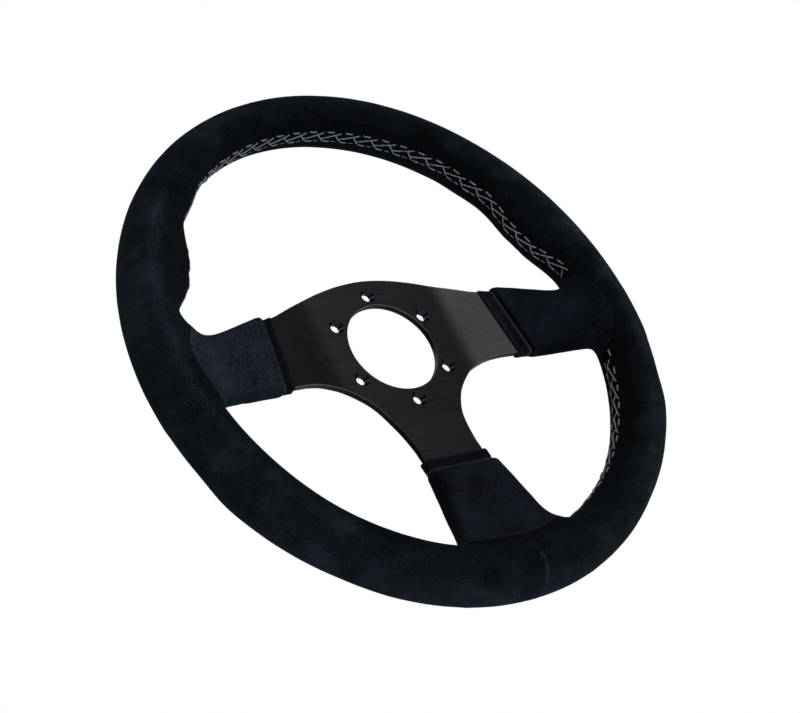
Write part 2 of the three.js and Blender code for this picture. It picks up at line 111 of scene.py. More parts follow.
class Spoke:
    """One arm with its sleeve. Both edges are straight: a value at ARM_FROM and a drift beyond it.

    seam is the sleeve's end on the rim, an oval: middle across, half across, half toward the driver,
    its exponent, and its distance from the hub's centre, or None where it follows the grip's section.
    """

    def __init__(self, name, top, top_drift, low, low_drift, band_from, slant, widen, seam):
        self.name, self.band_from, self.slant, self.widen, self.seam = name, band_from, slant, widen, seam
        self.top, self.top_drift, self.low, self.low_drift = top, top_drift, low, low_drift
        self.sleeve_from = band_from + BAND_LONG + PIPING + 2 * GAP

    def hi(self, u):
        return self.top + self.top_drift * (u - ARM_FROM)

    def lo(self, u):
        return self.low + self.low_drift * (u - ARM_FROM)

    def place(self, u, v, w):
        """Spoke coordinates (outward, across, toward the driver) to wheel space."""
        if self.name == "right":
            return np.stack([u, v, w], -1)
        if self.name == "left":
            return np.stack([-u, v, w], -1)
        return np.stack([v, -u, w], -1)

    def local(self, p):
        """Wheel space to spoke coordinates."""
        if self.name == "right":
            return p[..., 0], p[..., 1], p[..., 2]
        if self.name == "left":
            return -p[..., 0], p[..., 1], p[..., 2]
        return -p[..., 1], p[..., 0], p[..., 2]

    def blend_at(self, p):
        """Size of the fillet between sleeve and rim: wide under the thumb rests, and at one side of the foot."""
        u, v, _ = self.local(p)
        inner = smooth(FILLET_OUTER, FILLET_INNER, u)
        if self.name == "bottom":
            return FILLET + inner * (5 * smooth(10, 30, v) - 4 * smooth(-10, -30, v))
        return FILLET + inner * 17 * smooth(0, 16, v)

    def section(self, u):
        """Middle and half sizes of the padded section at u: across, then toward the driver."""
        grow = PAD_SIDE + self.widen * np.clip(u - self.sleeve_from, 0, None)
        hi, lo = self.hi(u) + grow, self.lo(u) - grow
        middle = rise(u) + (PLATE + PAD_FRONT - PAD_BACK) / 2
        return (hi + lo) / 2, (hi - lo) / 2, middle, (PLATE + PAD_FRONT + PAD_BACK) / 2

    def slant_at(self, u):
        """How much of the trim strip's slant the sleeve still has at u."""
        return self.slant * (1 - smooth(self.sleeve_from, STRAIGHT_AT, u))


SIDE = dict(
    top=27.3, top_drift=-0.33, low=-18.1, low_drift=-0.105,
    band_from=76.2, slant=0.122, widen=0.0, seam=(-6.5, 25.0, 13.3, 2.2, None),
)
FOOT = dict(
    top=20.1, top_drift=0.0, low=-20.1, low_drift=0.0,
    band_from=75.3, slant=0.0, widen=0.18, seam=(1.5, 39.0, 9.5, 2.6, 134.6),
)
SPOKES = [Spoke("right", **SIDE), Spoke("left", **SIDE), Spoke("bottom", **FOOT)]

# ------------------------------------------------------------------ the padded skin as a field


def lift(deg):
    """Degrees above the 3 to 9 o'clock line, the same on the right and the left."""
    d = np.mod(deg, 360)
    return np.where(d <= 90, d, np.where(d <= 270, 180 - d, d - 360))


def grip_half(deg):
    low = (1 - np.sin(np.radians(deg))) / 2
    return HALF_TOP * (1 - low) + HALF_LOW * low


def grip_rest(deg):
    """How far the thumb rest stands inward."""
    e = lift(deg)
    return (THUMB_REST * smooth(40, 27, e) + THUMB_LIP * smooth(52, 44, e)) * smooth(9, 22, e)


def grip_outer(deg):
    """Half width of the grip's outer side, with its low palm corners."""
    e = lift(deg)
    return grip_half(deg) + PALM_CORNER * smooth(-20, -29, e) * np.clip((e + 52) / 22, 0, 1)


def grip_point(deg, turn):
    """Point of the bare grip at a rim angle (degrees) and a section angle (radians, 0 outward)."""
    c, s = np.cos(turn), np.sin(turn)
    rest = grip_rest(deg)
    half = np.where(c >= 0, grip_outer(deg), grip_half(deg) + rest)
    hollow = np.where((c < 0) & (s > 0), THUMB_HOLLOW * c * c * rest / (THUMB_REST + THUMB_LIP), 0)
    r = RIM_R + half * c
    w = RIM_W + HALF_DEEP * s * (1 - hollow)
    a = np.radians(deg)
    return np.stack([r * np.cos(a), r * np.sin(a), w], -1)


def grip_normal(deg, turn):
    """Outward direction of the bare grip."""
    e = 0.02
    a = grip_point(deg + e, turn) - grip_point(deg - e, turn)
    b = grip_point(deg, turn + e) - grip_point(deg, turn - e)
    n = np.cross(a, b)
    n /= np.linalg.norm(n, axis=-1)[..., None]
    along = np.radians(deg)
    out = np.stack([np.cos(turn) * np.cos(along), np.cos(turn) * np.sin(along), np.sin(turn)], -1)
    return n * np.sign((n * out).sum(-1))[..., None]


def rim_field(p):
    """Signed distance to the bare grip, near enough."""
    deg = np.degrees(np.arctan2(p[..., 1], p[..., 0]))
    a = np.hypot(p[..., 0], p[..., 1]) - RIM_R
    b = p[..., 2] - RIM_W
    rest = grip_rest(deg)
    half = np.where(a >= 0, grip_outer(deg), grip_half(deg) + rest)
    k = (a / half) ** 2
    share = k / (k + (b / HALF_DEEP) ** 2 + 1e-9)
    hollow = np.where((a < 0) & (b > 0), THUMB_HOLLOW * share * rest / (THUMB_REST + THUMB_LIP), 0)
    deep = HALF_DEEP * (1 - hollow)
    k0 = np.sqrt(k + (b / deep) ** 2) + 1e-9
    k1 = np.sqrt((a / half**2) ** 2 + (b / deep**2) ** 2) + 1e-9
    return k0 * (k0 - 1) / k1


def sleeve_field(spoke, p):
    """Signed distance to a spoke's padding."""
    u, v, w = spoke.local(p)
    vc, hv, wc, hw = spoke.section(np.clip(u, SECTION_FROM, SECTION_TO))
    side = np.clip(1 - ((v - vc) / hv) ** 2, 0, 1)
    front = np.where(w > wc, CROWN, CROWN * 0.5) * side
    x = np.abs(v - vc) - (hv - SECTION_ROUND)
    y = np.abs(w - wc) - (hw - SECTION_ROUND) - front
    d = np.minimum(np.maximum(x, y), 0) + np.hypot(np.maximum(x, 0), np.maximum(y, 0)) - SECTION_ROUND
    return np.maximum(np.maximum(d, PADDED_FROM - u), u - PADDED_TO)


def skin_field(p):
    """Signed distance to the skin: the grip and the three sleeves, with fillets between them."""
    d = rim_field(p)
    for spoke in SPOKES:
        s = sleeve_field(spoke, p)
        blend = spoke.blend_at(p)
        h = np.clip(1 - np.abs(d - s) / blend, 0, 1)
        d = np.minimum(d, s) - blend / 4 * h * h
    return d


def gradient(field, p, step=0.05):
    g = np.empty_like(p)
    for axis in range(3):
        move = np.zeros(3)
        move[axis] = step
        g[..., axis] = (field(p + move) - field(p - move)) / (2 * step)
    return g


def settle(p, rounds=7):
    """Moves points onto the skin along its slope, and gives the outward direction there."""
    for _ in range(rounds):
        g = gradient(skin_field, p)
        n2 = np.maximum((g * g).sum(-1), 0.05)
        step = np.clip(skin_field(p) / n2, -2.5, 2.5)
        p = p - step[..., None] * g
    g = gradient(skin_field, p)
    return p, g / np.linalg.norm(g, axis=-1)[..., None]


def waves(p, size, seed):
    """Smooth noise from -1 to 1 with bumps about `size` mm across."""
    flat = p.reshape(-1, 3) / size + seed * 17.31
    return np.array([noise.noise(q) for q in flat.tolist()]).reshape(p.shape[:-1])


# ------------------------------------------------------------------ mesh helpers


def to_row(p):
    return np.stack([p[..., 0], -p[..., 2], p[..., 1]], -1) / 1000


def face_outward(mesh, merge=0.0):
    """Turns every face outward and shades it smooth, after joining points closer than `merge` metres."""
    work = bmesh.new()
    work.from_mesh(mesh)
    if merge:
        bmesh.ops.remove_doubles(work, verts=work.verts, dist=merge)
    bmesh.ops.recalc_face_normals(work, faces=work.faces)
    work.to_mesh(mesh)
    work.free()
    mesh.polygons.foreach_set("use_smooth", [True] * len(mesh.polygons))


def add_mesh(name, points, faces, material, replaced, attributes=None):
    """A new piece of points in wheel space; `attributes` are numbers a point that its material reads."""
    mesh = bpy.data.meshes.new(name)
    points = np.asarray(points, float).reshape(-1, 3)
    mesh.from_pydata(to_row(points).tolist(), [], [list(map(int, f)) for f in faces])
    mesh.validate()
    for key, values in (attributes or {}).items():
        layer = mesh.attributes.new(key, "FLOAT", "POINT")
        layer.data.foreach_set("value", np.asarray(values, np.float32).ravel())
    face_outward(mesh)
    mesh.materials.append(material)
    piece = bpy.data.objects.new(name, mesh)
    scene.collection.objects.link(piece)
    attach(piece, "root")
    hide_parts(*replaced)
    return piece


def grid_faces(rows, cols, closed_rows=True):
    """Quads of a grid whose columns close on themselves, and its rows too unless told otherwise."""
    i, j = np.meshgrid(np.arange(rows if closed_rows else rows - 1), np.arange(cols), indexing="ij")
    i2, j2 = (i + 1) % rows, (j + 1) % cols
    return np.stack([i * cols + j, i2 * cols + j, i2 * cols + j2, i * cols + j2], -1).reshape(-1, 4)


# ------------------------------------------------------------------ materials


def grey(value):
    return (value, value, value)


BLACK, WHITE = grey(0), grey(1)


class Look:
    """A node material under construction."""

    def __init__(self, name):
        self.material = bpy.data.materials.new(name)
        self.material.use_nodes = True
        self.tree = self.material.node_tree
        self.shader = self.tree.nodes["Principled BSDF"]
        self.place = self.node("ShaderNodeTexCoord").outputs["Object"]

    def node(self, kind, **settings):
        made = self.tree.nodes.new(kind)
        for key, value in settings.items():
            setattr(made, key, value)
        return made

    def link(self, a, b):
        self.tree.links.new(a, b)

    def set(self, **values):
        for key, value in values.items():
            self.shader.inputs[key.replace("_", " ")].default_value = value

    def surface(self, color, rough, normal):
        for socket, value in (("Base Color", color), ("Roughness", rough), ("Normal", normal)):
            self.link(value, self.shader.inputs[socket])

    def stretched(self, scale):
        m = self.node("ShaderNodeMapping")
        self.link(self.place, m.inputs["Vector"])
        m.inputs["Scale"].default_value = scale
        return m.outputs["Vector"]

    def noise(self, scale, detail=4.0, rough=0.55, vector=None, distortion=0.0):
        n = self.node("ShaderNodeTexNoise")
        self.link(vector or self.place, n.inputs["Vector"])
        n.inputs["Scale"].default_value = scale
        n.inputs["Detail"].default_value = detail
        n.inputs["Roughness"].default_value = rough
        n.inputs["Distortion"].default_value = distortion
        return n.outputs["Fac"]

    def ramp(self, value, *stops):
        r = self.node("ShaderNodeValToRGB")
        r.color_ramp.interpolation = "EASE"
        while len(r.color_ramp.elements) < len(stops):
            r.color_ramp.elements.new(0.5)
        for element, (at, color) in zip(r.color_ramp.elements, stops):
            element.position = at
            element.color = (*color, 1)
        self.link(value, r.inputs["Fac"])
        return r.outputs["Color"]

    def mix(self, fac, a, b, blend="MIX"):
        m = self.node("ShaderNodeMix", data_type="RGBA", blend_type=blend)
        for socket, value in ((m.inputs[0], fac), (m.inputs[6], a), (m.inputs[7], b)):
            if isinstance(value, bpy.types.NodeSocket):
                self.link(value, socket)
            else:
                socket.default_value = (*value, 1) if isinstance(value, tuple) else value
        return m.outputs[2]

    def math(self, operation, a, b):
        m = self.node("ShaderNodeMath", operation=operation)
        for socket, value in zip(m.inputs, (a, b)):
            if isinstance(value, bpy.types.NodeSocket):
                self.link(value, socket)
            else:
                socket.default_value = value
        return m.outputs[0]

    def times(self, a, b):
        return self.math("MULTIPLY", a, b)

    def blended(self, a, share_a, b, share_b):
        return self.math("ADD", self.times(a, share_a), self.times(b, share_b))

    def attribute(self, name):
        return self.node("ShaderNodeAttribute", attribute_name=name).outputs["Fac"]

    def bump(self, height, distance, strength, after=None):
        b = self.node("ShaderNodeBump")
        self.link(height, b.inputs["Height"])
        b.inputs["Distance"].default_value = distance
        b.inputs["Strength"].default_value = strength
        if after is not None:
            self.link(after, b.inputs["Normal"])
        return b.outputs["Normal"]


# painted light and shade that the suede's colour is multiplied by: 0 is painted shade on the seam side
# of the rim, 1 a painted highlight on the ridge in front
PAINTED_LIGHT_TONES = [
    (0.0, (0.36, 0.38, 0.41)),
    (0.3, (0.76, 0.78, 0.8)),
    (0.55, WHITE),
    (0.79, (1.3, 1.38, 1.5)),
    (1.0, (1.7, 1.78, 1.9)),
]
SUEDE_SHEEN = dict(Sheen_Weight=0.018, Sheen_Roughness=0.42, Sheen_Tint=(0.45, 0.66, 1.0, 1))


def suede_look(name, dark, mid, light, nap=1.0):
    """Napped suede: brushed patches of some cm, mottled nap of about 1 mm, and a grain of fine fibres.

    The scales are per metre. The points' "edge" pales it, wear with a painted highlight; "crease" darkens it,
    painted shade; and "turned" is painted light and shade from PAINTED_LIGHT_TONES.
    """
    k = Look(name)
    patches = k.noise(19, 4, 0.55, distortion=1.6)
    strokes = k.noise(1.0, 3, 0.5, k.stretched((45, 60, 95)), distortion=0.6)
    mottle = k.noise(950, 5, 0.7)
    fibre = k.noise(2600, 3, 0.7)
    brushed = k.blended(patches, 0.62, strokes, 0.38)
    tone = k.ramp(brushed, (0.38, dark), (0.51, mid), (0.64, light))
    lit_tips = tuple(c * 1.7 + 0.002 for c in light)
    tone = k.mix(k.times(k.ramp(mottle, (0.42, BLACK), (0.74, WHITE)), 0.5 * nap), tone, lit_tips)
    deep = tuple(c * 0.45 for c in dark)
    tone = k.mix(k.times(k.ramp(mottle, (0.28, WHITE), (0.46, BLACK)), 0.4), tone, deep)
    # the "edge" points paled: wear with a painted highlight
    highlight_and_wear = k.times(k.attribute("edge"), k.ramp(k.noise(500, 3), (0.35, grey(0.25)), (0.6, WHITE)))
    tone = k.mix(k.times(highlight_and_wear, 0.75), tone, tuple(c * 3.0 + 0.012 for c in light))
    # painted shade where "crease" is set
    tone = k.mix(k.times(k.attribute("painted_shade"), 0.8), tone, tuple(c * 0.3 for c in dark))
    # painted light and shade from "turned"
    tone = k.mix(1.0, tone, k.ramp(k.attribute("turned"), *PAINTED_LIGHT_TONES), "MULTIPLY")
    rough = k.ramp(mottle, (0.3, grey(0.98)), (0.7, grey(0.86)))
    grain = k.bump(mottle, 0.0005, 0.7, k.bump(fibre, 0.00022, 0.7))
    k.surface(tone, rough, k.bump(brushed, 0.0012, 0.4, grain))
    k.set(Specular_IOR_Level=0.04, **SUEDE_SHEEN)
    return k.material


def plate_look():
    """Black anodised aluminium with fine brushing along the wheel's 3 to 9 o'clock line."""
    k = Look("anodised_brushed")
    lines = k.noise(1.0, 6, 0.72, k.stretched((22, 5200, 5200)))
    bands = k.noise(1.0, 4, 0.6, k.stretched((7, 1500, 1300)))
    cloud = k.noise(28, 3, 0.5)
    tone = k.ramp(
        lines,
        (0.34, (0.0165, 0.0165, 0.0172)),
        (0.5, (0.0255, 0.0255, 0.0262)),
        (0.68, (0.042, 0.042, 0.0428)),
    )
    tone = k.mix(k.times(k.ramp(bands, (0.4, BLACK), (0.65, WHITE)), 0.3), tone, (0.05, 0.0495, 0.0495))
    rough = k.math("ADD", k.blended(lines, 0.22, cloud, 0.12), 0.2)
    k.surface(tone, rough, k.bump(bands, 0.00003, 0.2, k.bump(lines, 0.00003, 0.35)))
    tangent = k.node("ShaderNodeTangent", direction_type="UV_MAP", uv_map="brushing")
    k.link(tangent.outputs["Tangent"], k.shader.inputs["Tangent"])
    k.set(Metallic=0.85, Anisotropic=0.55, Anisotropic_Rotation=0.25, Specular_IOR_Level=0.5)
    return k.material


def edge_look(name, low, high, rough):
    """The same anodised aluminium where it is cut: walls, chamfers, bore and countersinks."""
    k = Look(name)
    grain = k.noise(2200, 4, 0.6)
    tone = k.ramp(grain, (0.35, low), (0.65, high))
    k.surface(tone, k.math("ADD", k.times(grain, 0.12), rough), k.bump(grain, 0.00001, 0.25))
    k.set(Metallic=0.9, Specular_IOR_Level=0.5)
    return k.material


def thread_look(name, low, high):
    """Twisted thread: the plies wind round each stitch."""
    k = Look(name)
    ply = k.node("ShaderNodeTexWave", wave_type="BANDS", bands_direction="DIAGONAL", wave_profile="SIN")
    k.link(k.place, ply.inputs["Vector"])
    ply.inputs["Scale"].default_value = 620
    ply.inputs["Distortion"].default_value = 1.5
    ply.inputs["Detail"].default_value = 1.0
    fuzz = k.noise(3500, 3, 0.6)
    both = k.blended(ply.outputs["Fac"], 0.6, fuzz, 0.4)
    rough = k.ramp(fuzz, (0.3, grey(0.6)), (0.7, grey(0.8)))
    k.surface(k.ramp(both, (0.15, low), (0.7, high)), rough, k.bump(both, 0.0002, 0.8))
    k.set(Sheen_Weight=0.25, Sheen_Roughness=0.5, Specular_IOR_Level=0.35)
    return k.material


def steel_look():
    k = Look("plain_steel")
    spots = k.noise(160, 5, 0.6)
    tone = k.ramp(spots, (0.35, (0.25, 0.26, 0.27)), (0.65, (0.42, 0.43, 0.44)))
    rough = k.ramp(spots, (0.3, grey(0.35)), (0.7, grey(0.55)))
    k.surface(tone, rough, k.bump(k.noise(900, 3), 0.00008, 0.4))
    k.set(Metallic=1.0)
    return k.material


SUEDE = suede_look("suede_rim", (0.0022, 0.0033, 0.0042), (0.0059, 0.0082, 0.01), (0.0134, 0.0172, 0.0206))
SLEEVE_SUEDE = {
    "right": suede_look(
        "suede_sleeve_dark", (0.002, 0.003, 0.0045), (0.0052, 0.007, 0.0102), (0.0098, 0.0128, 0.0184)
    ),
    "left": suede_look(
        "suede_sleeve_pale", (0.006, 0.0084, 0.0135), (0.0145, 0.0182, 0.0272), (0.0305, 0.0362, 0.0515), 1.7
    ),
    "bottom": suede_look(
        "suede_sleeve_foot", (0.0042, 0.0054, 0.0078), (0.0092, 0.0115, 0.016), (0.0155, 0.019, 0.0255), 1.1
    ),
}
SUEDE_BAND = suede_look(
    "suede_band", (0.0024, 0.003, 0.0046), (0.0056, 0.0066, 0.0094), (0.0104, 0.012, 0.0165), 0.8
)
BRUSHED = plate_look()
TURNED = edge_look("anodised_turned", (0.010, 0.013, 0.022), (0.026, 0.031, 0.046), 0.1)
# walls: painted shade, far darker than the brushed face
WALL_PAINTED_SHADE = edge_look("anodised_wall_painted_shade", (0.004, 0.0042, 0.005), (0.009, 0.0095, 0.011), 0.34)
# chamfers: a painted highlight, far brighter than the brushed face
CHAMFER_PAINTED_HIGHLIGHT = edge_look("anodised_chamfer_painted_highlight", (0.10, 0.10, 0.105), (0.19, 0.19, 0.2), 0.2)
THREAD = thread_look("thread_grey", (0.10, 0.11, 0.13), (0.38, 0.41, 0.45))
CORD = thread_look("piping_cord", (0.012, 0.014, 0.019), (0.045, 0.051, 0.064))
STEEL = steel_look()

# ------------------------------------------------------------------ spoke plate
# the plate's materials by face kind; walls carry painted shade and chamfers a painted highlight
PLATE_MATERIALS = (BRUSHED, TURNED, WALL_PAINTED_SHADE, CHAMFER_PAINTED_HIGHLIGHT)
ON_FACE, ON_SCREW_HOLE, ON_WALL, ON_CHAMFER = range(4)
CREST_LINE = [(57, 13.2), (45, 8.6), (31, 4.4), (16, 1.3)]  # the hub's top edge: x, and the drop from HUB_TOP
BAY_LINE = [(60, -18.2), (53, -19.5), (45, -22.4), (37, -28.3), (30.5, -35), (26, -42.6), (22.8, -51), (21, -60)]
CREST_STEPS, BAY_STEPS, ARM_STEPS = 12, 8, 30
BORE_SIDES, SCREW_SIDES, RIVET_SIDES = 144, 48, 20
SOFT_CHAMFER = 0.35  # where the front chamfers have a middle line, as a share of the chamfer
FILL_STEP = (2.6, 2.25)  # points scattered over the plate's faces, so that they bend with the arms
FILL_CLEAR = 1.1
BRUSHING_SCALE = 5
SHARP_FROM, SAME_POINT = 22, 2e-6


def spline(points, steps):
    """Uniform Catmull-Rom curve through the points, as the CAD part uses."""
    p = np.asarray(points, float)
    out = []
    for i in range(len(p) - 1):
        a, b, c, d = p[max(i - 1, 0)], p[i], p[i + 1], p[min(i + 2, len(p) - 1)]
        for t in np.arange(steps) / steps:
            v0, v1 = (c - a) / 2, (d - b) / 2
            out.append((2 * b - 2 * c + v0 + v1) * t**3 + (-3 * b + 3 * c - 2 * v0 - v1) * t**2 + v0 * t + b)
    out.append(p[-1])
    return [tuple(q) for q in out]


def mirrored(points):
    return [(-x, y) for x, y in points][::-1]


def outline():
    """The plate's edge as one loop: hub, side arms, bays and bottom arm."""
    side, foot = SPOKES[0], SPOKES[2]
    reach = np.linspace(ARM_FROM, SPOKE_END, ARM_STEPS)[1:]

    def arm(edge, sign):
        return [(sign * u, edge(u)) for u in reach]

    arm_top = (ARM_FROM, side.hi(ARM_FROM))
    crest = [(x, HUB_TOP - drop) for x, drop in CREST_LINE]
    crest = spline([arm_top, *crest, (0, HUB_TOP), *mirrored(crest), *mirrored([arm_top])], CREST_STEPS)
    bay = spline([(ARM_FROM, side.lo(ARM_FROM)), *BAY_LINE, (foot.hi(ARM_FROM), -ARM_FROM)], BAY_STEPS)[::-1]
    foot_edge = [(foot.hi(u), -u) for u in reach]
    loop = arm(side.hi, 1)[::-1] + crest + arm(side.hi, -1)
    loop += arm(side.lo, -1)[::-1] + mirrored(bay) + mirrored(foot_edge)[::-1]
    loop += foot_edge[::-1] + bay + arm(side.lo, 1)
    return np.array(loop)


def inset_loop(loop, by):
    """The loop moved inward (for a counter-clockwise loop) by a small distance."""
    before, after = loop - np.roll(loop, 1, 0), np.roll(loop, -1, 0) - loop
    n1 = np.stack([-before[:, 1], before[:, 0]], -1)
    n2 = np.stack([-after[:, 1], after[:, 0]], -1)
    n1 /= np.linalg.norm(n1, axis=1)[:, None]
    n2 /= np.linalg.norm(n2, axis=1)[:, None]
    n = n1 + n2
    return loop + by * 2 * n / (n * n).sum(1)[:, None]


def ring(centre, radius, count):
    a = np.arange(count) * 2 * math.pi / count
    return np.stack([centre[0] + radius * np.cos(a), centre[1] + radius * np.sin(a)], -1)


def inside(points, loop):
    x, y = points[:, 0][:, None], points[:, 1][:, None]
    x1, y1 = loop[:, 0][None], loop[:, 1][None]
    x2, y2 = np.roll(loop[:, 0], -1)[None], np.roll(loop[:, 1], -1)[None]
    with np.errstate(divide="ignore", invalid="ignore"):
        hit = ((y1 > y) != (y2 > y)) & (x < (x2 - x1) * (y - y1) / (y2 - y1) + x1)
    return hit.sum(1) % 2 == 1


def between(points, loops):
    """True inside the first loop and outside the others, which are its holes."""
    ok = inside(points, loops[0])
    for hole in loops[1:]:
        ok &= ~inside(points, hole)
    return ok


def flat_face(loops, fill):
    """Triangles between an outer loop and its holes, with a scatter of points inside so that it can bend."""
    edge_points = np.vstack(loops)
    near = np.array([np.min(np.hypot(*(edge_points - q).T)) for q in fill])
    ok = between(fill, loops) & (near > FILL_CLEAR)
    points = [*map(tuple, edge_points), *map(tuple, fill[ok])]
    edges, start = [], 0
    for loop in loops:
        n = len(loop)
        edges += [(start + i, start + (i + 1) % n) for i in range(n)]
        start += n
    found = delaunay_2d_cdt([Vector(p) for p in points], edges, [], 0, 1e-5)
    verts, faces = np.array([tuple(v) for v in found[0]]), np.array(found[2])
    return verts, faces[between(verts[faces].mean(1), loops)]


def plate_walls():
    """Every wall of the plate: its kind, and its loops with their heights, from the front face to the back."""
    edge = outline()
    soft = CHAMFER * SOFT_CHAMFER
    broken = [(CHAMFER, PLATE), (soft, PLATE - soft), (0, PLATE - CHAMFER), (0, CHAMFER), (CHAMFER, 0)]
    walls = [
        ("edge", [(inset_loop(edge, by), h) for by, h in broken]),
        ("edge", [(ring((0, 0), BORE_R + by, BORE_SIDES), h) for by, h in broken]),
    ]
    sink = PLATE - SINK_DEEP
    screw_hole = [(SINK_R + 0.12, PLATE), (SINK_R, PLATE - 0.08), (BOLT_R + 0.05, sink + 0.06)]
    screw_hole += [(BOLT_R, sink), (BOLT_R, 0.25), (BOLT_R + 0.25, 0)]
    for a in math.pi / 2 + np.arange(6) * math.pi / 3:
        at = BOLT_CIRCLE * np.array([math.cos(a), math.sin(a)])
        walls.append(("screw", [(ring(at, r, SCREW_SIDES), h) for r, h in screw_hole]))
    for spoke in SPOKES:
        middle = (spoke.hi(RIM_R) + spoke.lo(RIM_R)) / 2
        for v in (middle + RIVET_SPREAD, middle - RIVET_SPREAD):
            at = spoke.place(math.sqrt(RIM_R**2 - v * v), v, 0.0)[:2]
            walls.append(("rivet", [(ring(at, RIVET_R + GAP, RIVET_SIDES), h) for h in (PLATE, 0)]))
    return walls


def fill_points():
    """Points over both faces, in rows shifted by half a step."""
    xs, ys = np.arange(-160, 160, FILL_STEP[0]), np.arange(-160, 60, FILL_STEP[1])
    gx, gy = np.meshgrid(xs, ys)
    gx = gx + (np.arange(len(ys)) % 2 * FILL_STEP[0] / 2)[:, None]
    fill = np.stack([gx.ravel(), gy.ravel()], -1)
    return fill[(np.abs(fill[:, 0]) < 62) | (fill[:, 1] > -40)]


def build_plate():
    walls, fill = plate_walls(), fill_points()
    points, faces, kinds = [], [], []
    for face_height, pick in ((PLATE, 0), (0.0, -1)):
        verts, tris = flat_face([loops[pick][0] for _, loops in walls], fill)
        start = len(points)
        points += [(x, y, face_height) for x, y in verts]
        faces += [tuple(start + i for i in t) for t in tris]
        kinds += [ON_FACE] * len(tris)
    for kind, loops in walls:
        n = len(loops[0][0])
        start = len(points)
        for loop, height in loops:
            points += [(x, y, height) for x, y in loop]
        for k in range(len(loops) - 1):
            a, b = start + k * n, start + (k + 1) * n
            faces += [(a + i, a + (i + 1) % n, b + (i + 1) % n, b + i) for i in range(n)]
            upright = loops[k][1] - loops[k + 1][1] > PLATE / 2
            # walls take the painted shade, chamfers the painted highlight
            material_slot = ON_SCREW_HOLE if kind == "screw" else ON_WALL if upright else ON_CHAMFER
            kinds += [material_slot] * n
    p = np.array(points, float)
    p[:, 2] += rise(np.maximum(np.abs(p[:, 0]), -p[:, 1]))
    mesh = bpy.data.meshes.new("plate_brushed")
    mesh.from_pydata(to_row(p).tolist(), [], faces)
    for material in PLATE_MATERIALS:
        mesh.materials.append(material)
    mesh.polygons.foreach_set("material_index", kinds)
    face_outward(mesh, merge=SAME_POINT)
    mesh.set_sharp_from_angle(angle=math.radians(SHARP_FROM))
    layer = mesh.uv_layers.new(name="brushing")
    at = np.array([mesh.vertices[l.vertex_index].co[:] for l in mesh.loops])
    flat = np.stack([at[:, 0], at[:, 2] + at[:, 1] * 0.3], -1)
    layer.data.foreach_set("uv", flat.ravel() * BRUSHING_SCALE)
    piece = bpy.data.objects.new("plate_brushed", mesh)
    scene.collection.objects.link(piece)
    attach(piece, "root")
    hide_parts("spoke_plate")


# ------------------------------------------------------------------ rim skin


def inside_seam(spoke, p):
    """Below 1 where a sleeve covers the rim skin, 1 on the sleeve's edge, and larger away from it."""
    u, v, w = spoke.local(p)
    middle, half_v, half_w, power, _ = spoke.seam
    g = (np.abs((v - middle) / half_v) ** power + np.abs((w - RIM_W) / half_w) ** power) ** (1 / power)
    away = (u < SECTION_FROM) | (np.hypot(p[..., 0], p[..., 1]) > RIM_R)
    return np.where(away, 9.0, g)


def seam_path(run):
    """Rim angles along a window's inner seam, the turns of the stitch pattern there, and their number."""
    deg = np.linspace(*STITCH_RUNS[run], 1200)
    p = grip_point(deg, np.full_like(deg, math.pi))
    along = np.r_[0, np.cumsum(np.linalg.norm(np.diff(p, axis=0), axis=1))]
    count = round(along[-1] / STITCH_STEP)
    return deg, along * (count / along[-1]), count


def seam_turn(deg):
    """Section angle of the seam, which wanders a little from the innermost line."""
    forward = smooth(4, 11, deg) * smooth(148, 116, deg)
    back = smooth(122, 148, deg) * smooth(177, 171, deg) + smooth(310, 294, deg) * smooth(276, 282, deg)
    return math.pi - np.radians(SEAM_FORWARD * forward - SEAM_BACK * back)


def rim_grid():
    """Rim angles and section angles of the skin's points, close together at the seams."""
    fine = [np.arange(lo, hi, 0.5) for lo, hi in ((14, 166), (193, 252), (288, 347))]
    coarse = np.arange(0, 360, 1.0)
    butt = np.array([0.05, 0.12, 0.2, 0.3, 0.45, 0.7, 1.0])
    deg = [*fine, coarse[np.abs(coarse - BUTT_AT) > 1], BUTT_AT - butt, BUTT_AT + butt]
    near = np.array([0, 0.6, 1.2, 1.9, 2.8, 4, 5.5, 7.2, 9.2, 11.5, 14, 17, 20])
    turn = np.concatenate([180 - near[:0:-1], 180 + near, np.arange(203.5, 516, 3.5)])
    D, T = np.meshgrid(np.unique(np.round(np.concatenate(deg), 3)), np.radians(turn), indexing="ij")
    from_inside = np.abs(np.mod(np.degrees(T), 360) - 180)
    return D, T + (seam_turn(D) - math.pi) * smooth(75, 22, from_inside)


def window_phase(D):
    """1 within the stitched windows and 0 elsewhere, and the turns of the stitch pattern up to each point."""
    window, phase = np.zeros_like(D), np.zeros_like(D)
    for run, (lo, hi) in STITCH_RUNS.items():
        path, turns, _ = seam_path(run)
        on = (D > lo - 1) & (D < hi + 1)
        window = np.where(on, smooth(lo - 1, lo + 0.5, D) * smooth(hi + 1, hi - 0.5, D), window)
        phase = np.where(on, np.interp(D, path, turns), phase)
    return window, phase


def rim_painted_light(D, T):
    """Painted light and shade on the skin: painted shade toward the seam, a painted highlight on the ridge in
    front.
    """
    e, section = lift(D), np.degrees(T)
    # painted light on the grip's outer side, painted shade on its inner side
    turned = 0.5 + np.where(np.cos(T) > 0, 0.3, 0.5) * np.cos(T)
    # a painted highlight along the ridge in front, high on the grip and low down, none by the butt seam
    ridge_highlight = np.where(e > 0, smooth(46, 30, e), 0.5 * smooth(-78, -40, e) + 0.5 * smooth(-22, -6, e))
    ridge_highlight = ridge_highlight * smooth(16, 24, np.abs(D - BUTT_AT))
    for ridge in (86, 86 + 360):
        turned += 0.6 * bell(section - ridge, 14) * ridge_highlight
    # painted shade in the hollow behind each thumb rest
    return turned - 0.7 * bell(section - 134, 26) * bell(e - 22, 13)


